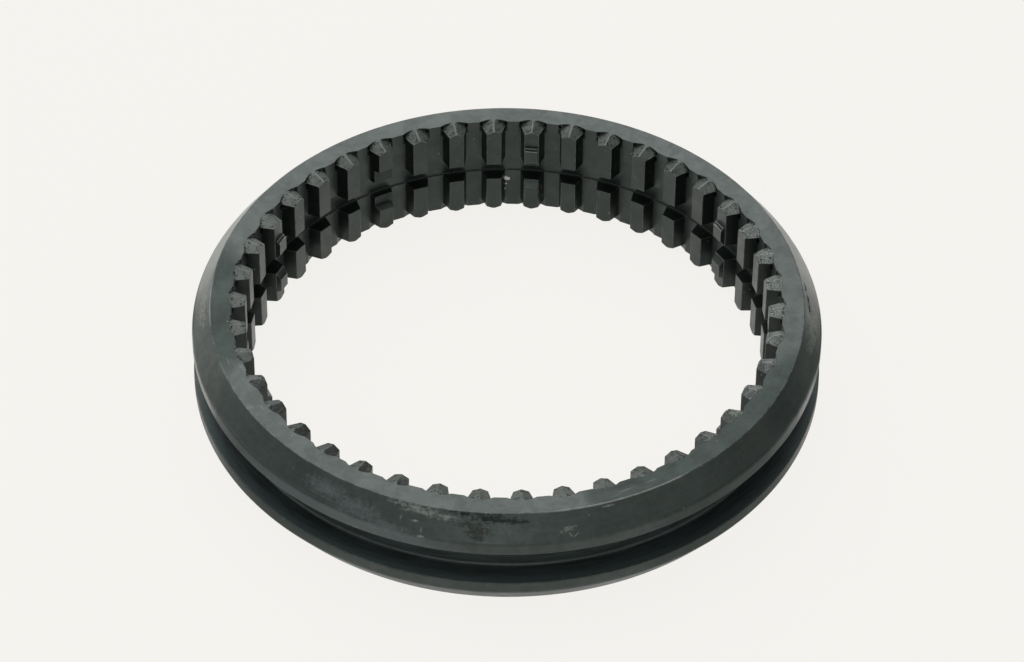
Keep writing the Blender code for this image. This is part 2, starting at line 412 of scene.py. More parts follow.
def open_sector(kind):
    tools = [(space_tool(), "DIFFERENCE")]
    if kind == "stop":
        tools.append((pad_tool(), "UNION"))
    tools += [(relief_tool(), "DIFFERENCE"), (roof_tool(), "DIFFERENCE")]
    if kind == "detent":
        tools.append((recess_tool(), "DIFFERENCE"))
    blank = as_object(kind, blank_sector())
    mesh = cut_mesh(blank, tools)
    for used in [blank] + [tool for tool, _ in tools]:
        bpy.data.objects.remove(used)
    bm = bmesh.new()
    bm.from_mesh(mesh)
    bmesh.ops.remove_doubles(bm, verts=bm.verts, dist=SLIVER)
    bmesh.ops.dissolve_degenerate(bm, edges=bm.edges, dist=SLIVER / 10)
    open_edges = sum(not edge.is_manifold for edge in bm.edges)
    ends = [face for face in bm.faces if on_cut_end(face)]
    bmesh.ops.delete(bm, geom=ends, context="FACES")
    worn = bm.faces.layers.float.new("rounding")
    inner = ROOT_RADIUS + POCKET_REACH + PAST / 2
    for face in bm.faces:
        face.material_index = finish_of(face, inner)
    lower_ridge = [edge for edge in bm.edges if is_lower_ridge(edge)]
    round_off(bm, lower_ridge, LOWER_RIDGE_ROUND, 4)
    sharp = [edge for edge in bm.edges if is_sharp_inside(edge, inner)]
    on_pad = [edge for edge in sharp if min(v.co.y for v in edge.verts) < TIP_RADIUS - SLIVER]
    shortest = min(edge.calc_length() for edge in sharp)
    rounded = round_off(bm, on_pad, PAD_ROUND, 2) if on_pad else []
    for face in rounded:
        face[worn] = PAD_WEAR
    rest = [edge for edge in sharp if edge.is_valid and edge not in on_pad]
    rounded += round_off(bm, rest, EDGE_ROUND, 2)
    for face in rounded:
        if face.is_valid and face[worn] == 0:
            at_root = face.calc_center_median().xy.length > ROOT_RADIUS - EDGE_ROUND
            face[worn] = ROOT_WEAR if at_root else 1.0
    widest = max(edge.calc_length() for face in rounded if face.is_valid for edge in face.edges)
    print(
        f"{kind}: {open_edges} open edges before its ends came off, {len(sharp)} edges rounded,"
        f" shortest {1000 * shortest:.3f} mm, longest side of a rounding {1000 * widest:.2f} mm,"
        f" {len(bm.faces)} faces"
    )
    return bm


# %% [markdown]
# ## The whole ring
# Three kinds of sector make the ring: plain, stop and detent. Each copy is turned to its tooth, and
# the seams are merged.


# %% Join the sectors
def ring_mesh():
    kinds = {}
    for kind in ("plain", "stop", "detent"):
        kinds[kind] = bpy.data.meshes.new(kind)
        sector = open_sector(kind)
        sector.to_mesh(kinds[kind])
        sector.free()
    bm = bmesh.new()
    for tooth in range(TEETH):
        kind = "stop" if tooth in STOP_TEETH else "detent" if tooth in DETENT_TEETH else "plain"
        present = set(bm.verts)
        bm.from_mesh(kinds[kind])
        added = [vert for vert in bm.verts if vert not in present]
        turn = Matrix.Rotation(tooth * PITCH, 3, "Z")
        bmesh.ops.rotate(bm, cent=(0, 0, 0), matrix=turn, verts=added)
    bmesh.ops.remove_doubles(bm, verts=bm.verts, dist=4e-6)
    return bm


def finished_ring():
    bm = ring_mesh()
    print("open edges of the ring:", sum(not edge.is_manifold for edge in bm.edges))
    ring = as_object("shift_sleeve_dressed", bm)
    ring.data.shade_smooth()
    ring.data.set_sharp_from_angle(angle=math.radians(50))
    weighted = ring.modifiers.new("weighted_normals", "WEIGHTED_NORMAL")
    weighted.mode = "FACE_AREA"
    weighted.keep_sharp = True
    print("faces", len(ring.data.polygons), "vertices", len(ring.data.vertices))
    return ring


ring = finished_ring()

# %% [markdown]
# ## The finish
# The steel is phosphated: a chemical bath leaves a dark grey coat of fine crystals, slightly green.
# It holds oil, and the oil film is what shines. So the material is a dark, dull base under a clear
# coat, and the film is thicker in some places than in others. Every pattern reads the place on the
# ring in millimetres. That needs no unwrapping, and a size in the pattern is then a real size.

# %% Helpers for nodes
MIX_FACTOR, MIX_UNDER, MIX_OVER, MIX_RESULT = 0, 6, 7, 2  # sockets of a Mix node set to colours


def add_node(tree, kind, feeds=None, **settings):
    """A node whose sockets take plain values or the outputs of other nodes."""
    made = tree.nodes.new(kind)
    for name, value in settings.items():
        setattr(made, name, value)
    for socket, source in (feeds or {}).items():
        if isinstance(source, bpy.types.NodeSocket):
            tree.links.new(source, made.inputs[socket])
        else:
            made.inputs[socket].default_value = source
    return made


def worked(tree, operation, *values, clamp=False):
    """The result of a Math node."""
    feeds = dict(enumerate(values))
    return add_node(tree, "ShaderNodeMath", feeds, operation=operation, use_clamp=clamp).outputs[0]


def times(tree, first, *others):
    """The product of masks and shares."""
    for other in others:
        first = worked(tree, "MULTIPLY", first, other)
    return first


def parts_of(tree, vector):
    """The three numbers of a vector."""
    return add_node(tree, "ShaderNodeSeparateXYZ", {"Vector": vector}).outputs


def strongest(tree, masks):
    """The highest of the masks at each point."""
    found = masks[0]
    for other in masks[1:]:
        found = worked(tree, "MAXIMUM", found, other)
    return found


def ramped(tree, value, start, end, low=0.0, high=1.0):
    """The value turned into a smooth step: low before its start, high past its end."""
    feeds = {"Value": value, "From Min": start, "From Max": end, "To Min": low, "To Max": high}
    made = add_node(tree, "ShaderNodeMapRange", feeds, interpolation_type="SMOOTHSTEP")
    return made.outputs["Result"]


def noise(tree, place, **feeds):
    """A noise between 0 and 1, read at this place."""
    return add_node(tree, "ShaderNodeTexNoise", {"Vector": place, **feeds}).outputs["Fac"]


def laid_up(tree, tone, masks, layers):
    """A colour with layers on it. Each has the name of its mask, a share and its own colour."""
    for name, share, over in layers:
        feeds = {MIX_FACTOR: times(tree, masks[name], share), MIX_UNDER: tone, MIX_OVER: over}
        tone = add_node(tree, "ShaderNodeMix", feeds, data_type="RGBA").outputs[MIX_RESULT]
    return tone


def new_material(name, values):
    """A material with its nodes and its shader, which gets these plain values."""
    material = bpy.data.materials.new(name)
    material.use_nodes = True
    shader = material.node_tree.nodes["Principled BSDF"]
    for socket, value in values.items():
        shader.inputs[socket].default_value = value
    return material, material.node_tree, shader


# %% Helpers for node groups
def new_group(name, inputs, outputs):
    """An empty node group with its two ends. All its sockets are numbers, apart from Place."""
    tree = bpy.data.node_groups.new(name, "ShaderNodeTree")
    for title, start in inputs.items():
        socket = tree.interface.new_socket(title, in_out="INPUT", socket_type="NodeSocketFloat")
        socket.default_value = start
    for title in outputs:
        kind = "NodeSocketVector" if title == "Place" else "NodeSocketFloat"
        tree.interface.new_socket(title, in_out="OUTPUT", socket_type=kind)
    return tree, tree.nodes.new("NodeGroupInput"), tree.nodes.new("NodeGroupOutput")


def finished_group(tree, end, results):
    for title, source in results.items():
        tree.links.new(source, end.inputs[title])
    print("node group", tree.name, "gives", ", ".join(results))
    return tree


def place_group(tree, group, feeds=None):
    """The outputs of a group that is put into a tree, with values for this place."""
    return add_node(tree, "ShaderNodeGroup", feeds, node_tree=group).outputs


# %% [markdown]
# ### Where on the ring
# A lathe works by radius and height, and a broach works along the axis. This group gives each point's
# place in millimetres, its radius, its height and how far it lies from the middle of its tooth. The
# last one repeats with every tooth, so it has no seam anywhere.


# %% Place on the ring
def ring_place_group():
    tree, _, end = new_group("ring_place", {}, ("Place", "Radius", "Height", "Across"))
    metres = add_node(tree, "ShaderNodeTexCoord").outputs["Object"]
    scaled = add_node(tree, "ShaderNodeVectorMath", {0: metres, "Scale": 1000.0}, operation="SCALE")
    place = scaled.outputs["Vector"]
    x, y, z = parts_of(tree, place)
    flat = add_node(tree, "ShaderNodeCombineXYZ", {"X": x, "Y": y}).outputs["Vector"]
    length = add_node(tree, "ShaderNodeVectorMath", {0: flat}, operation="LENGTH")
    radius = length.outputs["Value"]
    turn = worked(tree, "ARCTAN2", times(tree, x, -1.0), y)
    off_middle = worked(tree, "WRAP", turn, PITCH / 2, -PITCH / 2)
    across = times(tree, off_middle, radius)
    results = {"Place": place, "Radius": radius, "Height": z, "Across": across}
    return finished_group(tree, end, results)


RING_PLACE = ring_place_group()

# %% [markdown]
# ### Clouds, lines and grain
# The coat is cloudy, because the bath and the oil take unevenly. Under it are the fine lines of the
# tool, which run round the axis on turned faces and along it on broached ones. The lines are a noise
# that is squeezed in one direction. For the turned ones the radius is the noise's fourth coordinate,
# so that they follow the circle exactly. The crystals are a much finer noise.


# %% Clouds, tool lines and grain
def sized_noise_group(name, output, size, limits=None, **feeds):
    """A noise with a size in millimetres, and with a smooth step between its limits if it has any."""
    tree, start, end = new_group(name, {"Size": size}, (output,))
    place = place_group(tree, RING_PLACE)["Place"]
    scale = worked(tree, "DIVIDE", 1.0, start.outputs["Size"])
    uneven = noise(tree, place, Scale=scale, **feeds)
    return finished_group(tree, end, {output: ramped(tree, uneven, *limits) if limits else uneven})


def tool_lines_group():
    inputs = {"Per Millimetre": 3.0, "Run": 0.05}
    tree, start, end = new_group("tool_lines", inputs, ("Round", "Along"))
    ring = place_group(tree, RING_PLACE)
    fine, run = start.outputs["Per Millimetre"], start.outputs["Run"]
    x, y, z = parts_of(tree, ring["Place"])

    def lines(scales, depth):
        parts = [times(tree, part, scale) for part, scale in zip((x, y, z), scales)]
        squeezed = add_node(tree, "ShaderNodeCombineXYZ", dict(enumerate(parts))).outputs["Vector"]
        feeds = {"Vector": squeezed, "W": depth, "Scale": 1.0, "Detail": 3.0, "Roughness": 0.65}
        return add_node(tree, "ShaderNodeTexNoise", feeds, noise_dimensions="4D").outputs["Fac"]

    around = lines((run, run, fine), times(tree, ring["Radius"], fine))
    return finished_group(tree, end, {"Round": around, "Along": lines((fine, fine, run), 0.0)})


CLOUD_FEEDS = {"Detail": 6.0, "Roughness": 0.6, "Distortion": 0.7}
COAT_CLOUDS = sized_noise_group("coat_clouds", "Clouds", 9.0, (0.30, 0.70), **CLOUD_FEEDS)
TOOL_LINES = tool_lines_group()
CRYSTAL_GRAIN = sized_noise_group("crystal_grain", "Grain", 0.12, Detail=2.0, Roughness=0.7)

# %% [markdown]
# ### Wear, specks and painted pocket shade
# Handling rubs the coat off the edges first. The roundings carry a mark that was set when they were
# made, so the wear sits exactly on them, and a noise breaks it up. The turned rims get theirs from
# their radius and height. Specks are the cells of a Voronoi pattern, of which only a few show, each as
# a small disc: light ones are dust, and dark ones are pits. The two corners of each upper pocket,
# beside the foot of the tooth, are painted black as the shade that falls into them.


# %% Wear, specks and painted pocket shade
def edge_wear_group():
    tree, start, end = new_group("edge_wear", {"Amount": 0.5}, ("Wear",))
    place = place_group(tree, RING_PLACE)["Place"]
    rounding = add_node(tree, "ShaderNodeAttribute", attribute_name="rounding").outputs["Fac"]
    broken = ramped(tree, noise(tree, place, Scale=0.8, Detail=4.0), 0.36, 0.66, low=0.15)
    wear = times(tree, rounding, broken, start.outputs["Amount"])
    return finished_group(tree, end, {"Wear": wear})


def specks_group():
    inputs = {"Share": 0.03, "Width": 0.16, "Cells": 0.8}
    tree, start, end = new_group("specks", inputs, ("Specks",))
    place = place_group(tree, RING_PLACE)["Place"]
    rough = add_node(tree, "ShaderNodeTexNoise", {"Vector": place, "Scale": 2.5}).outputs["Color"]
    frayed = add_node(tree, "ShaderNodeVectorMath", {0: rough, 1: place}, operation="ADD").outputs[0]
    cells = add_node(tree, "ShaderNodeTexVoronoi", {"Vector": frayed, "Scale": start.outputs["Cells"]})
    core = times(tree, start.outputs["Width"], 0.45)
    dot = ramped(tree, cells.outputs["Distance"], start.outputs["Width"], core)
    chance = add_node(tree, "ShaderNodeSeparateColor", {"Color": cells.outputs["Color"]}).outputs[0]
    kept = worked(tree, "LESS_THAN", chance, start.outputs["Share"])
    return finished_group(tree, end, {"Specks": times(tree, dot, kept)})


def pocket_shade_group():
    tree, start, end = new_group("painted_pocket_shade", {"Amount": 0.9}, ("Pocket Shade",))
    ring = place_group(tree, RING_PLACE)
    foot, rim = 1000 * tooth_half_width(ROOT_RADIUS), 1000 * POCKET_HALF
    root, floor = 1000 * ROOT_RADIUS, 1000 * ROOF_FOOT
    off_middle = worked(tree, "ABSOLUTE", ring["Across"])
    # Painted shade: the two corners of each upper pocket, beside the foot of the tooth, go black.
    pocket_shade = times(
        tree,
        start.outputs["Amount"],
        ramped(tree, off_middle, foot - 0.45, foot - 0.05),
        ramped(tree, off_middle, rim + 0.25, rim),
        ramped(tree, ring["Radius"], root - 0.8, root - 0.3),
        ramped(tree, ring["Height"], floor - 0.4, floor + 0.2),
        ramped(tree, noise(tree, ring["Place"], Scale=1.3, Detail=4.0), 0.28, 0.50),
    )
    return finished_group(tree, end, {"Pocket Shade": pocket_shade})


EDGE_WEAR = edge_wear_group()
SPECKS = specks_group()
POCKET_SHADE = pocket_shade_group()

# %% [markdown]
# ### Marks that have one place
# Some marks are there only once: a cloud of scuffs, a dark stain with a brown patch, a few scratches,
# a speck of rust and one white grain. Each is a soft ball of influence. A Mapping node moves it to
# its place, turns it into the slope and stretches it, and a spherical Gradient fades it out. A noise
# then breaks the ball into streaks and flecks, because a plain ball looks airbrushed.

# %% Spots on the ring
SLOPE_TILT = math.atan2(OUTER_RADIUS - FACE_RADIUS, TOP - LAND_HEIGHT)
LEAST_DEPTH = 1.0
BEND = 60.0  # a long ball needs its half length squared over this as depth, to follow the curve


def spot(tree, place, angle, radius, height, half_sizes, tilt=0.0, turn=0.0, heading=0.0):
    """A soft spot. Its half sizes run round the ring, outwards and upwards, before it is turned."""
    around = Matrix.Rotation(math.radians(angle), 3, "Z")
    lean = Matrix.Rotation(tilt, 3, "X") @ Matrix.Rotation(math.radians(turn), 3, "Y")
    lean = lean @ Matrix.Rotation(math.radians(heading), 3, "Z")
    feeds = {
        "Vector": place,
        "Location": around @ Vector((0, radius, height)),
        "Rotation": (around @ lean).to_euler("XYZ"),
        "Scale": half_sizes,
    }
    mapped = add_node(tree, "ShaderNodeMapping", feeds, vector_type="TEXTURE").outputs["Vector"]
    return add_node(
        tree, "ShaderNodeTexGradient", {"Vector": mapped}, gradient_type="SPHERICAL"
    ).outputs["Fac"]


def slope_spot(tree, place, angle, down, half_round, half_down, turn=0.0):
    """A spot on the upper slope, this many millimetres down from the face."""
    radius = 1000 * FACE_RADIUS + down * math.sin(SLOPE_TILT)
    height = 1000 * TOP - down * math.cos(SLOPE_TILT)
    sizes = (half_round, max(LEAST_DEPTH, half_round**2 / BEND), half_down)
    return spot(tree, place, angle, radius, height, sizes, SLOPE_TILT, turn)


# %% The marks on the slope
# Each row: degrees round, millimetres down the slope, half length, half height and turn in degrees.
SCUFFS = (
    (168.4, 0.9, 7.5, 1.6, -3), (170.8, 1.4, 4.8, 1.4, -3), (166.3, 3.7, 0.4, 1.0, 0),
    (168.9, 3.8, 1.3, 0.35, 5), (170.4, 7.1, 1.3, 0.35, 0), (170.3, 5.6, 0.3, 0.9, 0),
    (174.3, 1.9, 4.2, 1.2, -3), (196.3, 4.6, 2.6, 1.0, 15), (204.5, 0.8, 1.6, 0.3, 0),
)
HAZE = (
    (157.5, 4.8, 7.5, 3.2, 0), (163.5, 6.8, 8.5, 1.7, 0), (151.0, 3.6, 7.5, 2.6, 0),
    (168.5, 8.3, 8.0, 1.3, 0),
)
STAIN = ((182.5, 1.0, 9.0, 1.5, -4), (187.3, 1.5, 4.0, 1.0, -4), (178.0, 0.7, 5.0, 0.9, -4))
BROWN_PATCHES = ((180.6, 3.6, 4.6, 2.2, 0), (180.6, 5.2, 2.4, 1.6, 0), (179.0, 2.9, 4.4, 1.2, 0))
SCRATCHES = (
    (196.9, 5.65, 1.1, 0.17, -55), (197.9, 5.85, 1.1, 0.17, 36), (200.4, 1.45, 1.0, 0.16, -59),
)
DARK_SCRATCHES = ((277.4, 1.95, 3.0, 0.6, 8), (274.6, 2.4, 2.6, 0.5, 10), (280.6, 1.5, 2.2, 0.5, 0))
# Painted sheen: light bands on the slope far out on the left and right, where it is seen at a grazing
# angle.
SHEEN_BANDS = ((94.0, 2.6, 11.0, 2.6, 0), (84.0, 2.0, 9.0, 2.2, 0), (271.0, 3.0, 11.0, 2.4, 0))
RUST = ((97.4, 3.7, 0.9, 0.8, 0), (96.8, 2.9, 0.6, 0.5, 0), (98.3, 4.1, 0.5, 0.5, 0))


def slope_marks(tree, place, lines, off_face):
    """Masks of the marks on the upper slope, by the names that the coat uses."""
    flecks = noise(tree, place, Scale=1.1, Detail=3.5, Roughness=0.66)
    mixed = worked(tree, "ADD", times(tree, flecks, 0.6), times(tree, lines, 0.4))
    streaky = ramped(tree, mixed, 0.34, 0.66)
    spotty = ramped(tree, flecks, 0.36, 0.64)

    def spots_of(rows):
        return times(tree, strongest(tree, [slope_spot(tree, place, *row) for row in rows]), off_face)

    def patchy(rows, pattern, pull, start, full):
        """The pattern, pulled up near the spots, and cut where it starts and where it is full."""
        near = spots_of(rows)
        pulled = worked(tree, "ADD", times(tree, near, pull), pattern)
        return times(tree, ramped(tree, near, 0.0, 0.12), ramped(tree, pulled, start, full))

    def thin(rows):
        return times(tree, ramped(tree, spots_of(rows), 0.05, 0.6), ramped(tree, flecks, 0.38, 0.52))

    return {
        "scuffs": patchy(SCUFFS, streaky, 0.75, 0.45, 1.60),
        "haze": patchy(HAZE, streaky, 0.95, 0.30, 1.75),
        "stain": patchy(STAIN, streaky, 0.70, 0.50, 1.25),
        "brown": patchy(BROWN_PATCHES, streaky, 0.68, 0.52, 1.25),
        "side_sheen": patchy(SHEEN_BANDS, streaky, 0.50, 0.40, 1.00),
        "rust": patchy(RUST, spotty, 0.60, 0.50, 1.05),
        "scratches": thin(SCRATCHES),
        "dark_scratches": patchy(DARK_SCRATCHES, spotty, 0.65, 0.60, 1.05),
    }


# %% [markdown]
# ### The three coats
# One bath coated the whole ring, but it looks different on each kind of surface. Turned faces show
# clouds and rings. Broached teeth are smoother and darker. The milled roofs are the roughest, and
# they catch the light in grains. So there are three materials from the same groups.
#
# Their gloss has a high index and a dark tint, which is as dim head-on as oil is. A lower index with
# a pale tint would be as dim, but the same tint also colours the edge of a metal. With a dark one, a
# place that is made dark metal to dull it stays dull where it is seen from the side.

# %% What the coats share
COAT_DARK = (0.0085, 0.0125, 0.0110, 1)
COAT_LIGHT = (0.030, 0.039, 0.036, 1)
# Bare steel where the coat is worn, and also painted highlights on the pad stairs and the back ridges.
WEAR_AND_HIGHLIGHT_TONE = (0.28, 0.29, 0.28, 1)
# Black for stains and pits, and for painted shade in the pocket corners and on the flanks.
STAIN_AND_SHADE_TONE = (0.004, 0.004, 0.004, 1)
DUST_TONE = (0.34, 0.34, 0.31, 1)
COAT_INDEX = 1.8
OIL_ROUGHNESS = 0.26
SMOOTHER_CLOUDS = -0.08  # what the clouds add to the roughness


def new_coat(name, gloss_tint):
    """A material with its shader, its place on the ring, and an oil film of even gloss."""
    values = {"IOR": COAT_INDEX, "Specular Tint": gloss_tint, "Coat Roughness": OIL_ROUGHNESS}
    material, tree, shader = new_material(name, values)
    return material, tree, shader, place_group(tree, RING_PLACE)


def connect(tree, shader, sources, height, depth):
    """The sources into the shader's sockets, and a bump of this depth in metres."""
    bump = add_node(tree, "ShaderNodeBump", {"Height": height, "Strength": 1.0, "Distance": depth})
    tree.links.new(bump.outputs["Normal"], shader.inputs["Normal"])
    for socket, source in sources.items():
        tree.links.new(source, shader.inputs[socket])


def clouds_of(tree, size):
    """Clouds of about this many millimetres."""
    return place_group(tree, COAT_CLOUDS, {"Size": size})["Clouds"]


def rim_mask(tree, ring, radius, height, width):
    """Bright close to a turned rim, given in metres, on both sides of the ring."""
    off_radius = worked(tree, "SUBTRACT", ring["Radius"], 1000 * radius)
    tall = worked(tree, "ABSOLUTE", ring["Height"])
    off_height = worked(tree, "SUBTRACT", tall, 1000 * height)
    squares = [times(tree, off, off) for off in (off_radius, off_height)]
    distance = worked(tree, "SQRT", worked(tree, "ADD", *squares))
    return ramped(tree, distance, width, width * 0.4)


# %% [markdown]
# The upper face has marks of its own. Long patches are duller, because less oil lies there, and a few
# faint smears cross them. Its rim is rubbed bright in three places. Two stretches of the slope and
# two of the straight rims in front are duller as well, as painted shade, and so are the rims far out
# on both sides. The upper straight rim is bluish on the left of the front.

# %% Marks on the upper face and the outside
FACE_MIDDLE = 1000 * (ROOT_RADIUS + FACE_RADIUS) / 2
# Half sizes outwards and upwards, in millimetres
PATCH_WIDTH, FACE_DEPTH = 9.0, 2.0
RUB_SIZES = (6.0, 3.0)
RIM_SIZES = (16.0, 15.0)
# Each row starts with its degrees round and its half length. Smears go on with a half width and a
# turn in degrees, and duller slopes with their strength.
DULL_PATCHES = ((207.0, 9.0), (217.0, 13.0), (240.0, 34.0), (98.0, 28.0))
SMEARS = (
    (209.5, 5.5, 0.9, 14), (214.0, 4.0, 0.6, -10), (20.0, 4.0, 0.6, 12), (350.0, 3.0, 0.5, -18),
    (114.0, 6.0, 1.2, 35), (121.0, 5.0, 1.0, -25), (128.0, 4.0, 0.8, 50),
)
RUBBED_RIM = ((202.0, 16.0), (215.0, 10.0), (95.0, 12.0))
# Painted shade: these rims in front are dulled, so that they mirror less.
SHADED_RIMS = ((231.0, 34.0), (137.0, 30.0))
BLUE_RIM = (155.0, 42.0)
# Painted shade: these stretches of the slope in front are dulled, so that they mirror less.
SHADED_SLOPES = ((256.0, 24.0, 0.42), (134.0, 28.0, 0.24))
SLOPE_MIDDLE, SLOPE_REACH = 3.6, 12.0  # how far down the slope they lie, and their half height


def face_spot(tree, place, angle, half_round, half_out, turn=0.0):
    """A spot on the upper face, lying flat."""
    half_sizes = (half_round, half_out, FACE_DEPTH)
    return spot(tree, place, angle, FACE_MIDDLE, 1000 * TOP, half_sizes, heading=turn)


def outside_marks(tree, place):
    """Masks of the duller patches, the smears, and the rubbed, duller and bluish parts of rims."""
    dull = [face_spot(tree, place, *row, PATCH_WIDTH) for row in DULL_PATCHES]
    smears = [face_spot(tree, place, *row) for row in SMEARS]
    rubbed = [
        spot(tree, place, angle, 1000 * FACE_RADIUS, 1000 * TOP, (half_round, *RUB_SIZES))
        for angle, half_round in RUBBED_RIM
    ]
    *rims, blue = [
        spot(tree, place, angle, 1000 * OUTER_RADIUS, 0.0, (half_round, *RIM_SIZES))
        for angle, half_round in (*SHADED_RIMS, BLUE_RIM)
    ]
    return {
        "dull": ramped(tree, strongest(tree, dull), 0.05, 0.45),
        "shaded_rim": ramped(tree, strongest(tree, rims), 0.0, 0.5),
        "blue_rim": ramped(tree, blue, 0.0, 0.5),
        "smears": ramped(tree, strongest(tree, smears), 0.0, 0.8),
        "rubbed": ramped(tree, strongest(tree, rubbed), 0.0, 0.6),
    }


# %% [markdown]
# The lathe left several zones: the two faces, the slopes, the straight rims and the fork groove with
# its mouth. Radius and height tell them apart.


# %% Zones of the turned ring
def turned_zones(tree, ring):
    """Masks of the zones. Those named upper are on the upper side only."""
    half, land, top = 1000 * FORK_WIDTH / 2, 1000 * LAND_HEIGHT, 1000 * TOP
    outer, height = 1000 * OUTER_RADIUS, ring["Height"]
    tall = worked(tree, "ABSOLUTE", height)
    face = ramped(tree, tall, top - 0.15, top)
    below_slope = ramped(tree, tall, land + 1.0, land - 0.1)
    above_rim = ramped(tree, height, land - 0.2, land + 0.4)
    upper_rim = worked(tree, "SUBTRACT", ramped(tree, height, half, half + 0.2), above_rim, clamp=True)
    inside_mouth = ramped(tree, ring["Radius"], outer - 0.1, outer - 0.5)
    groove = times(tree, ramped(tree, tall, half + 0.15, half), inside_mouth)
    return {
        "face": face,
        "slopes": worked(tree, "SUBTRACT", 1.0, worked(tree, "MAXIMUM", face, below_slope)),
        "below_slope": below_slope,
        "rims": times(tree, below_slope, ramped(tree, tall, half - 0.25, half + 0.15)),
        "groove": groove,
        "mouth": times(tree, groove, ramped(tree, ring["Radius"], outer - 3.8, outer - 0.8)),
        "upper_slope": worked(tree, "SUBTRACT", above_rim, face, clamp=True),
        "upper_rim": upper_rim,
        "underside": ramped(tree, height, 0.2 - land, -0.1 - land),
    }


# %% [markdown]
# The coat on the turned faces is laid up like the real one, from the steel outwards: clouds and
# turning streaks first, then rubbed rims, then the stain, the scuffs and the dust. Where the stain
# has killed the gloss, the base is dark and metallic, which mirrors almost nothing. The same is done
# in a smaller share on the face where less oil lies, far out on the sides, and on stretches of the
# front rims and slopes, where it is painted shade. The upper slope and the upper rim get a pale
# painted sheen where they are seen nearly edge-on, which stands for the sheen of their film of dust
# and dry oil.

# %% Masks of the turned faces
SLOPE_EDGE_ON = (0.63, 0.79)  # 0 faces the eye, and 1 is seen edge-on
RIM_EDGE_ON = (0.74, 0.82)
RIM_OUTLINE = (0.97, 0.91)  # the painted sheen fades again towards the outline
DULL_FACE, SHADED_RIM, DULL_SIDES, DULL_UNDERSIDE = 0.52, 0.38, 0.75, 0.16
SIDEWAYS = (0.980, 0.998)  # sine of the angle from the front or the back
# Each row: radius and height in metres, width of the light line in millimetres, and its share.
TURNED_RIMS = (
    (FACE_RADIUS, TOP, 0.30, 1.0),
    (OUTER_RADIUS, LAND_HEIGHT, 0.22, 0.2),
    (OUTER_RADIUS, FORK_WIDTH / 2, 0.26, 0.5),
)


def rubbed_rims(tree, ring, marks, film):
    """Where handling has rubbed the rims of the turned faces."""
    rims = [times(tree, rim_mask(tree, ring, *row), share) for *row, share in TURNED_RIMS]
    lightly = ramped(tree, film, 0.25, 0.9, high=0.14)
    rubbing = worked(tree, "ADD", lightly, times(tree, marks["rubbed"], 0.36), clamp=True)
    return times(tree, strongest(tree, rims), rubbing)


def dulled_places(tree, ring, marks, zones):
    """Where the gloss is dulled: less oil on the face, painted shade on the front rims and slopes, and
    far out on the sides, there mostly on the upper half.
    """
    x = parts_of(tree, ring["Place"])["X"]
    sine = worked(tree, "DIVIDE", worked(tree, "ABSOLUTE", x), ring["Radius"])
    far_sides = times(tree, zones["below_slope"], ramped(tree, sine, *SIDEWAYS))
    mostly_upper = ramped(tree, ring["Height"], -4.0, 4.0, low=0.3)
    places = [
        times(tree, marks["dull"], zones["face"], DULL_FACE),
        times(tree, marks["shaded_rim"], zones["rims"], SHADED_RIM),
        times(tree, far_sides, mostly_upper, DULL_SIDES),
        times(tree, zones["underside"], DULL_UNDERSIDE),
    ]
    for degrees, half_round, strength in SHADED_SLOPES:
        near = slope_spot(tree, ring["Place"], degrees, SLOPE_MIDDLE, half_round, SLOPE_REACH)
        places.append(times(tree, ramped(tree, near, 0.0, 0.6), zones["slopes"], strength))
    return strongest(tree, places)


def edge_on_sheen_places(tree, zones):
    """Where the upper slope and the upper rim turn away from the eye, and get a painted sheen."""
    facing = add_node(tree, "ShaderNodeLayerWeight", {"Blend": 0.5}).outputs["Facing"]
    slope = times(tree, ramped(tree, facing, *SLOPE_EDGE_ON), zones["upper_slope"])
    turned = times(tree, ramped(tree, facing, *RIM_EDGE_ON), ramped(tree, facing, *RIM_OUTLINE))
    return worked(tree, "ADD", slope, times(tree, turned, zones["upper_rim"]), clamp=True)


def turned_masks(tree, ring, marks, zones, lines):
    """Where each layer of the turned faces shows."""
    clouds, mottle, film = (clouds_of(tree, size) for size in (12.0, 1.4, 2.4))
    wide = times(tree, clouds, ramped(tree, zones["face"], 0.0, 1.0, low=0.35, high=0.55))
    streaks = ramped(tree, lines, 0.42, 0.74, high=0.36)
    scuffed = [
        times(tree, marks["scuffs"], 0.8),
        times(tree, marks["scratches"], 0.6),
        times(tree, marks["smears"], streaks),
    ]
    return {
        **marks,
        "clouds": clouds,
        "film": film,
        "cloudy": worked(tree, "ADD", wide, times(tree, mottle, 0.34)),
        "streaks": streaks,
        "groove": times(tree, zones["groove"], ramped(tree, lines, 0.40, 0.60, low=0.2)),
        "mouth": zones["mouth"],
        "blue_rim": times(tree, marks["blue_rim"], zones["upper_rim"]),
        "rubbed": rubbed_rims(tree, ring, marks, film),
        "scuffed": strongest(tree, scuffed),
        "blackened": strongest(tree, [times(tree, marks["stain"], 0.72), marks["dark_scratches"]]),
        "dulled": dulled_places(tree, ring, marks, zones),
        "edge_on_sheen": edge_on_sheen_places(tree, zones),
        "dust": place_group(tree, SPECKS, {"Share": 0.05, "Width": 0.10})["Specks"],
    }


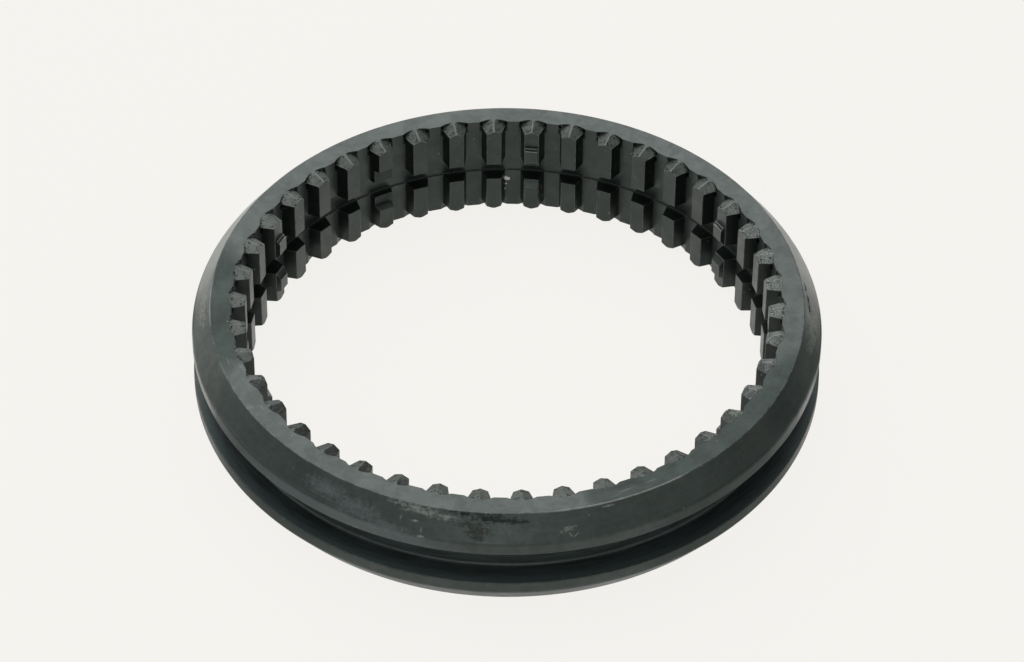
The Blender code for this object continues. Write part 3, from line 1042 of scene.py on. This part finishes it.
# %% Turned faces
TURNED_TINT = (0.36, 0.43, 0.41, 1)
TURNED_ROUGHNESS = 0.46
TURNED_OIL = {"low": 0.05, "high": 0.24}
TURNED_DEPTH = 0.000020
HAZE_TONE = (0.066, 0.086, 0.091, 1)
TURNED_LAYERS = (
    ("cloudy", 1.0, COAT_LIGHT),
    ("streaks", 1.0, COAT_LIGHT),
    ("groove", 1.0, (0.034, 0.044, 0.046, 1)),
    ("mouth", 0.45, HAZE_TONE),
    ("blue_rim", 0.6, HAZE_TONE),
    # painted sheen on the slope far out on the sides
    ("side_sheen", 0.8, (0.085, 0.098, 0.082, 1)),
    ("haze", 0.8, HAZE_TONE),
    ("rubbed", 1.0, WEAR_AND_HIGHLIGHT_TONE),
    ("brown", 0.8, (0.012, 0.0105, 0.007, 1)),
    ("blackened", 1.0, STAIN_AND_SHADE_TONE),
    ("scuffed", 1.0, (0.20, 0.22, 0.21, 1)),
    ("rust", 1.0, (0.17, 0.12, 0.06, 1)),
    # a pale painted sheen where the upper slope and rim are seen nearly edge-on
    ("edge_on_sheen", 1.0, (0.165, 0.175, 0.165, 1)),
    ("dust", 0.8, DUST_TONE),
)


def turned_coat():
    material, tree, shader, ring = new_coat("turned_coat", TURNED_TINT)
    lines = place_group(tree, TOOL_LINES, {"Per Millimetre": 1.3, "Run": 0.10})["Round"]
    fine_lines = place_group(tree, TOOL_LINES, {"Per Millimetre": 7.0, "Run": 0.05})["Round"]
    grain = place_group(tree, CRYSTAL_GRAIN, {"Size": 0.16})["Grain"]
    zones = turned_zones(tree, ring)
    off_face = worked(tree, "SUBTRACT", 1.0, zones["face"])
    marks = slope_marks(tree, ring["Place"], lines, off_face)
    marks.update(outside_marks(tree, ring["Place"]))
    masks = turned_masks(tree, ring, marks, zones, lines)

    brown, rubbed = times(tree, masks["brown"], 0.4), times(tree, masks["rubbed"], 0.5)
    metal = strongest(tree, [masks["blackened"], brown, rubbed, masks["dulled"]])
    dull = worked(tree, "ADD", times(tree, masks["clouds"], SMOOTHER_CLOUDS), TURNED_ROUGHNESS)
    rough = worked(tree, "ADD", dull, times(tree, masks["scuffed"], 0.15), clamp=True)
    film = ramped(tree, masks["film"], 0.1, 0.9, **TURNED_OIL)
    relief = worked(tree, "ADD", times(tree, fine_lines, 0.2), grain)
    relief = worked(tree, "SUBTRACT", relief, times(tree, masks["scratches"], 0.8))
    sources = {
        "Base Color": laid_up(tree, COAT_DARK, masks, TURNED_LAYERS),
        "Metallic": metal,
        "Roughness": rough,
        "Coat Weight": worked(tree, "SUBTRACT", film, metal, clamp=True),
    }
    connect(tree, shader, sources, relief, TURNED_DEPTH)
    return material


# %% [markdown]
# The broach leaves the teeth smooth and dark, and painted shade between the teeth makes their flanks
# the darkest. The edges of the turned relief are worn to light lines, and the edges of the stairs on
# the upper stop pads get painted highlights. One white grain sticks to a root, with a few crumbs near
# it.

# %% Masks of the broached teeth
# The pad edges get painted highlights, and the relief edge is worn.
# Radius and height in metres, and width of the light line in millimetres.
PAD_EDGES = ((STOP_RADIUS, PAD_END, 0.30), (STAIR_RADIUS, PAD_END + STOP_STEP, 0.30))
RELIEF_EDGE = (RELIEF_FLOOR, RELIEF_HALF, 0.32)
PAD_HIGHLIGHT, RELIEF_WORN = 0.34, 0.16
# Degrees round and height in millimetres, then half sizes round the ring and upwards.
WHITE_GRAINS = (
    (5.50, -5.0, 1.05, 0.80), (6.10, -4.5, 0.75, 0.55),
    (5.75, -6.7, 0.28, 0.34), (6.05, -8.1, 0.26, 0.42),
)
# Degrees round, radius and height in millimetres, and half sizes round, outwards and upwards.
CRUMBS = (358.0, 63.0, -7.5, (1.8, 2.6, 5.0))


def worn_and_highlit_lines(tree, ring):
    """The worn edges of the relief, and painted highlights on the edges of the upper pads and their
    stairs.
    """
    pads = strongest(tree, [rim_mask(tree, ring, *edge) for edge in PAD_EDGES])
    # Painted highlight, on the upper pads only, whose ledges face up to the light.
    pads = times(tree, pads, ramped(tree, ring["Height"], 0.0, 1.0), PAD_HIGHLIGHT)
    relief = times(tree, rim_mask(tree, ring, *RELIEF_EDGE), RELIEF_WORN)
    return worked(tree, "ADD", pads, relief)


def flank_shade(tree, ring):
    """The sides of the teeth, between their tips and the roots, where shade between the teeth is
    painted.
    """
    tip, root = 1000 * TIP_RADIUS, 1000 * ROOT_RADIUS
    above_tip = ramped(tree, ring["Radius"], tip + 0.05, tip + 0.35)
    below_root = ramped(tree, ring["Radius"], root - 0.05, root - 0.35)
    return times(tree, above_tip, below_root)


def white_grains(tree, ring):
    place, root = ring["Place"], 1000 * ROOT_RADIUS
    ragged = noise(tree, place, Scale=2.4, Detail=5.0, Roughness=0.7)
    near = strongest(tree, [
        spot(tree, place, angle, root, height, (half_round, 1.0, half_up))
        for angle, height, half_round, half_up in WHITE_GRAINS
    ])
    grains = ramped(tree, times(tree, near, ragged), 0.15, 0.20)
    specks = place_group(tree, SPECKS, {"Share": 0.6, "Width": 0.20})["Specks"]
    crumbs = times(tree, specks, ramped(tree, spot(tree, place, *CRUMBS), 0.0, 0.4))
    return strongest(tree, [grains, crumbs])


# %% Broached teeth
BROACHED_TINT = (0.36, 0.43, 0.39, 1)
BROACHED_ROUGHNESS = 0.40
BROACHED_OIL = {"low": 0.0, "high": 0.10}
BROACHED_DEPTH = 0.000015
BROACHED_LAYERS = (
    ("clouds", 0.35, COAT_LIGHT),
    ("streaks", 1.0, COAT_LIGHT),
    ("worn", 1.0, WEAR_AND_HIGHLIGHT_TONE),
    ("black", 1.0, STAIN_AND_SHADE_TONE),
    ("dust", 1.0, DUST_TONE),
    ("white_grains", 1.0, (0.80, 0.79, 0.75, 1)),
)


def broached_coat():
    material, tree, shader, ring = new_coat("broached_coat", BROACHED_TINT)
    clouds = clouds_of(tree, 5.0)
    lines = place_group(tree, TOOL_LINES, {"Per Millimetre": 5.0, "Run": 0.10})["Along"]
    grain = place_group(tree, CRYSTAL_GRAIN, {"Size": 0.14})["Grain"]
    wear = place_group(tree, EDGE_WEAR, {"Amount": 0.30})["Wear"]
    pocket_shade = place_group(tree, POCKET_SHADE)["Pocket Shade"]
    # Painted shade: black pocket corners, and flanks darkened by the shade between the teeth.
    black = strongest(tree, [pocket_shade, times(tree, flank_shade(tree, ring), 0.45)])
    masks = {
        "clouds": clouds,
        "streaks": ramped(tree, lines, 0.42, 0.70, high=0.3),
        # Worn edges, with painted highlights on the pad stairs.
        "worn": worked(tree, "ADD", wear, worn_and_highlit_lines(tree, ring), clamp=True),
        "black": black,
        "dust": place_group(tree, SPECKS, {"Share": 0.18, "Width": 0.13})["Specks"],
        "white_grains": white_grains(tree, ring),
    }
    sources = {
        "Base Color": laid_up(tree, COAT_DARK, masks, BROACHED_LAYERS),
        "Metallic": strongest(tree, [times(tree, wear, 0.5), black]),
        "Roughness": worked(tree, "ADD", BROACHED_ROUGHNESS, times(tree, clouds, SMOOTHER_CLOUDS)),
        "Coat Weight": ramped(tree, clouds, 0.0, 1.0, **BROACHED_OIL),
    }
    relief = worked(tree, "ADD", times(tree, lines, 0.8), grain)
    connect(tree, shader, sources, relief, BROACHED_DEPTH)
    return material


# %% [markdown]
# The milled roofs are torn rather than cut. They are dark and mottled, with pits along their borders,
# and a painted highlight makes a light line on the ridge of the teeth at the back. On both sides of the
# ring and in front they get painted light, a lighter tone. On the sides they also get painted glints,
# mostly on the right. Some roofs in front are black on the half that faces the middle of the front.

# %% Masks of the milled roofs
# Degrees round, which half, and how far out along that direction the black starts and is full.
BLACK_HALVES = ((140.0, 1.0, 54.5, 60.0), (245.0, -1.0, 58.5, 61.0))


def roof_pits(tree, ring):
    """Dark pits, most of them near the tip and near the back of the pocket."""
    tip, root = 1000 * TIP_RADIUS, 1000 * ROOT_RADIUS
    borders = strongest(tree, [
        ramped(tree, ring["Radius"], tip + 1.9, tip + 0.6),
        ramped(tree, ring["Radius"], root - 1.0, root + 0.3),
    ])
    pits = place_group(tree, SPECKS, {"Share": 0.8, "Width": 0.50, "Cells": 1.5})["Specks"]
    return times(tree, pits, ramped(tree, borders, 0.0, 1.0, low=0.2))


def black_halves(tree, ring, x, y, mottle):
    """The front halves of the roofs on the left front and on the right front."""
    found = []
    for degrees, side, start, full in BLACK_HALVES:
        turn = math.radians(degrees)
        steps = [times(tree, x, -math.sin(turn)), times(tree, y, math.cos(turn))]
        nearby = ramped(tree, worked(tree, "ADD", *steps), start, full)
        half = ramped(tree, times(tree, ring["Across"], side), 0.15, 0.45)
        found.append(times(tree, nearby, half))
    broken = ramped(tree, mottle, 0.1, 0.7, low=0.3, high=0.72)
    return times(tree, strongest(tree, found), broken)


# %% Milled roofs
MILLED_TINT = (0.38, 0.43, 0.40, 1)
MILLED_ROUGHNESS = 0.45
MILLED_OIL = {"low": 0.0, "high": 0.16}
MILLED_DEPTH = 0.00005
ROOF_DARK = (0.010, 0.0135, 0.0120, 1)
MILLED_LAYERS = (
    ("mottle", 1.0, (0.033, 0.040, 0.037, 1)),
    # a lighter tone, painted light on the roofs at the sides and in front
    ("painted_light", 1.0, (0.086, 0.097, 0.092, 1)),
    ("glints", 1.0, (0.26, 0.28, 0.27, 1)),
    ("black", 1.0, STAIN_AND_SHADE_TONE),
    ("worn", 1.0, WEAR_AND_HIGHLIGHT_TONE),
)


def milled_coat():
    material, tree, shader, ring = new_coat("milled_coat", MILLED_TINT)
    x, y, _ = parts_of(tree, ring["Place"])
    patches, mottle = clouds_of(tree, 4.0), clouds_of(tree, 0.9)
    grain = place_group(tree, CRYSTAL_GRAIN, {"Size": 0.30})["Grain"]
    wear = place_group(tree, EDGE_WEAR, {"Amount": 0.42})["Wear"]
    # Painted highlight in part: the worn edges stay light towards the back and fade in front.
    wear = times(tree, wear, ramped(tree, y, -40.0, 20.0, low=0.25))
    pocket_shade = place_group(tree, POCKET_SHADE)["Pocket Shade"]
    # Painted light: the roofs are lighter on both sides of the ring and in front.
    at_sides = ramped(tree, worked(tree, "ABSOLUTE", x), 36.0, 60.0)
    in_front = ramped(tree, y, -45.0, -58.0, high=0.75)
    lit_places = strongest(tree, [at_sides, in_front])
    # Painted highlight: a light line on the ridge of the teeth at the back.
    ridge_highlight = ramped(tree, worked(tree, "ABSOLUTE", ring["Across"]), 0.34, 0.08)
    ridge = times(tree, ridge_highlight, ramped(tree, y, 20.0, 45.0, high=0.3))
    # Black: pits, the black halves, and painted shade in the pocket corners.
    black = strongest(tree, [roof_pits(tree, ring), pocket_shade, black_halves(tree, ring, x, y, mottle)])
    # Painted glints on the grain at the sides, stronger on the right.
    glints = times(tree, ramped(tree, grain, 0.50, 0.66), at_sides)
    masks = {
        "mottle": mottle,
        "painted_light": times(tree, lit_places, ramped(tree, patches, 0.0, 0.8, low=0.45)),
        "glints": times(tree, glints, ramped(tree, x, -40.0, 20.0, low=0.35, high=0.9)),
        "black": black,
        "worn": strongest(tree, [wear, ridge]),
    }
    sources = {
        "Base Color": laid_up(tree, ROOF_DARK, masks, MILLED_LAYERS),
        "Metallic": strongest(tree, [times(tree, wear, 0.5), times(tree, black, 0.85)]),
        "Roughness": worked(tree, "ADD", MILLED_ROUGHNESS, times(tree, grain, 0.15)),
        "Coat Weight": ramped(tree, mottle, 0.2, 0.9, **MILLED_OIL),
    }
    relief = worked(tree, "SUBTRACT", grain, times(tree, black, 0.6))
    connect(tree, shader, sources, relief, MILLED_DEPTH)
    return material


# %% Dress the ring
for coat in (turned_coat(), broached_coat(), milled_coat()):
    ring.data.materials.append(coat)
    print(coat.name, "has", len(coat.node_tree.nodes), "nodes")
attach(ring, "root")
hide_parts("shift_sleeve")

# %% [markdown]
# ## Floor and light
# The ring lies on a plain pale floor in a pale studio. A dark glossy thing shows mostly what it
# mirrors, so the floor has to be just as pale in its reflections as it is to the eye, and the room
# lies halfway between that and the dim light that it gives. Light Path tells these rays apart. On the
# floor they get an even tone, and a share of the lit floor stays in it, which keeps the shadow.

# %% Floor
FLOOR_SIDES = (6.0, 6.0)
PALE = (0.921, 0.904, 0.871, 1)
LIT_FLOOR = (0.64, 0.628, 0.606, 1)
EVEN_SHARE = 0.95


def seen_rays(tree, mirrored_share):
    """One for rays of the eye or through glass, a share for a mirror image, nought for the rest."""
    path = add_node(tree, "ShaderNodeLightPath").outputs
    mirrored = times(tree, path["Is Glossy Ray"], mirrored_share)
    through = worked(tree, "MAXIMUM", mirrored, path["Is Transmission Ray"])
    return worked(tree, "MAXIMUM", path["Is Camera Ray"], through)


def pale_floor():
    values = {"Base Color": LIT_FLOOR, "Roughness": 1.0, "Specular IOR Level": 0.0}
    material, tree, lit = new_material("floor", values)
    even = add_node(tree, "ShaderNodeEmission", {"Color": PALE})
    share = times(tree, seen_rays(tree, 1.0), EVEN_SHARE)
    both = {0: share, 1: lit.outputs["BSDF"], 2: even.outputs["Emission"]}
    mix = add_node(tree, "ShaderNodeMixShader", both)
    tree.links.new(mix.outputs["Shader"], tree.nodes["Material Output"].inputs["Surface"])
    return material


def sheet(name, sides, where, material):
    """A flat rectangle, sized, turned and moved to its place."""
    bm = bmesh.new()
    bmesh.ops.create_grid(bm, x_segments=1, y_segments=1, size=0.5)
    bmesh.ops.transform(bm, matrix=where @ Matrix.Diagonal((*sides, 1, 1)), verts=bm.verts)
    made = as_object(name, bm)
    made.data.materials.append(material)
    return made


floor = sheet("floor", FLOOR_SIDES, Matrix.Translation((0, 0, low.z)), pale_floor())

# %% [markdown]
# A big soft lamp hangs above and behind the ring, a little to the left. The top face mirrors it
# towards the camera, which is why that face is the lightest. Two weaker ones stand on the left and in
# front. A dark card stands on the right, out of the picture, and darkens what that side mirrors.


# %% Lamps
def soft_lamp(name, place, size, watts):
    """A square lamp that faces the ring."""
    data = bpy.data.lights.new(name, "AREA")
    data.size = size
    data.energy = watts
    lamp = bpy.data.objects.new(name, data)
    place = Vector(place)
    lamp.matrix_world = Matrix.Translation(place) @ place.to_track_quat("Z", "Y").to_matrix().to_4x4()
    lamp.visible_camera = False
    bpy.context.scene.collection.objects.link(lamp)


soft_lamp("back_lamp", (-0.38, 0.70, 1.35), 2.1, 30)
soft_lamp("left_lamp", (-1.30, 0.10, 0.60), 0.8, 1.7)
soft_lamp("front_lamp", (0.00, -1.60, 0.85), 0.8, 3.0)

# %% Dark card
CARD_PLACE = (0.90, 0.30, 0.26)
CARD_SIDES = (0.50, 1.10)  # tall and long
CARD_TONE = (0.03, 0.03, 0.03, 1)

upright = Matrix.Translation(CARD_PLACE) @ Matrix.Rotation(math.pi / 2, 4, "Y")
card_material, _, _ = new_material("card", {"Base Color": CARD_TONE})
card = sheet("card", CARD_SIDES, upright, card_material)
card.visible_camera = False

# %% World
ROOM_LIGHT = 0.45
MIRRORED_SHARE = 0.5
world = bpy.data.worlds.new("studio")
world.use_nodes = True
tree = world.node_tree
dim = tree.nodes["Background"]
dim.inputs["Color"].default_value = PALE
dim.inputs["Strength"].default_value = ROOM_LIGHT
pale = add_node(tree, "ShaderNodeBackground", {"Color": PALE, "Strength": 1.0})
both = {0: seen_rays(tree, MIRRORED_SHARE), 1: dim.outputs["Background"], 2: pale.outputs["Background"]}
mix = add_node(tree, "ShaderNodeMixShader", both)
tree.links.new(mix.outputs["Shader"], tree.nodes["World Output"].inputs["Surface"])
bpy.context.scene.world = world
bpy.context.scene.view_settings.view_transform = "Standard"
